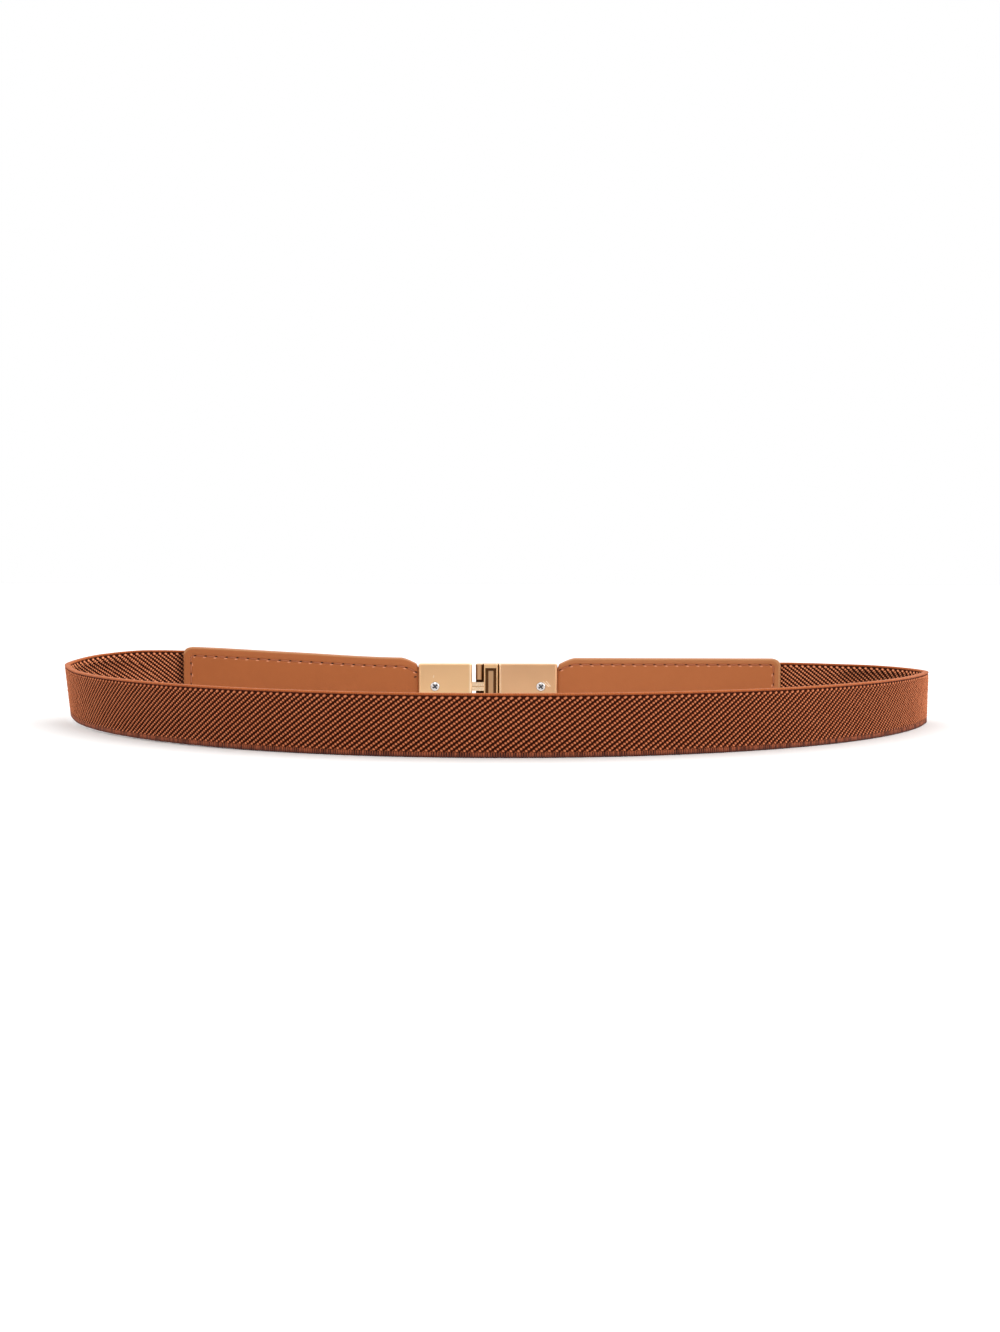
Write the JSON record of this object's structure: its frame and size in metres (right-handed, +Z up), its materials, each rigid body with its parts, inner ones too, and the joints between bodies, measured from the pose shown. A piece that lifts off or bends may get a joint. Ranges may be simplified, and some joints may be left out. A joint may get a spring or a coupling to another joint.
{
  "type": "elastic stretch belt",
  "caption": "Waist belt of woven stretch elastic with stitched leather tabs and an interlocking hook clasp, fastened and standing on its edge.",
  "frame": {"origin": "middle of the belt's footprint, on the surface that it stands on", "axes": "+Z up; +X along the clasp and tabs, to the right when seen from the plain stretch; +Y from the plain stretch to the clasp"},
  "size_m": [0.3478, 0.153, 0.0282],
  "materials": {
    "elastic": "matte, tightly woven in slanting ribs",
    "leather": "smooth, semi-matte, stitched edge",
    "clasp_metal": "pale gold, satin",
    "screw_steel": "satin"
  },
  "bodies": {
    "root": {"elastic_band": "elastic", "tab_right_outer": "leather", "tab_right_inner": "leather", "tab_left_outer": "leather", "tab_left_inner": "leather", "clasp_left_half": "clasp_metal", "clasp_right_half": "clasp_metal", "screw_left": "screw_steel", "screw_right": "screw_steel"}
  },
  "joints": []
}
